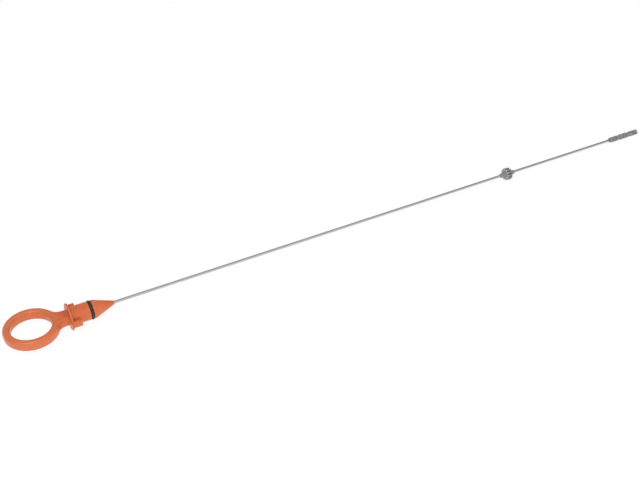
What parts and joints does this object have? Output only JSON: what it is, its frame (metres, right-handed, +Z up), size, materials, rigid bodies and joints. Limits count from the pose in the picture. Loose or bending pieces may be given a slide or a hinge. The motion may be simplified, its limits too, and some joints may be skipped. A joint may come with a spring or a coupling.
{
  "type": "engine oil dipstick",
  "caption": "Engine oil dipstick: an orange moulded finger ring and sealing plug on a long thin steel wire with a fluted guide bushing and a flat notched measuring blade.",
  "frame": {"origin": "middle of the dipstick's box, on the table it rests on", "axes": "+X from the finger ring to the tip of the blade, +Z up, with the finger ring lying level"},
  "size_m": [0.5294, 0.0342, 0.0177],
  "materials": {
    "handle_plastic": "satin moulded orange",
    "seal_rubber": "smooth black rubber",
    "wire_steel": "drawn steel wire, blade dull and cross-hatched",
    "bushing_plastic": "matt grey"
  },
  "bodies": {
    "root": {"handle": "handle_plastic", "seal_ring": "seal_rubber", "dipstick_wire": "wire_steel", "guide_bushing": "bushing_plastic"}
  },
  "joints": []
}
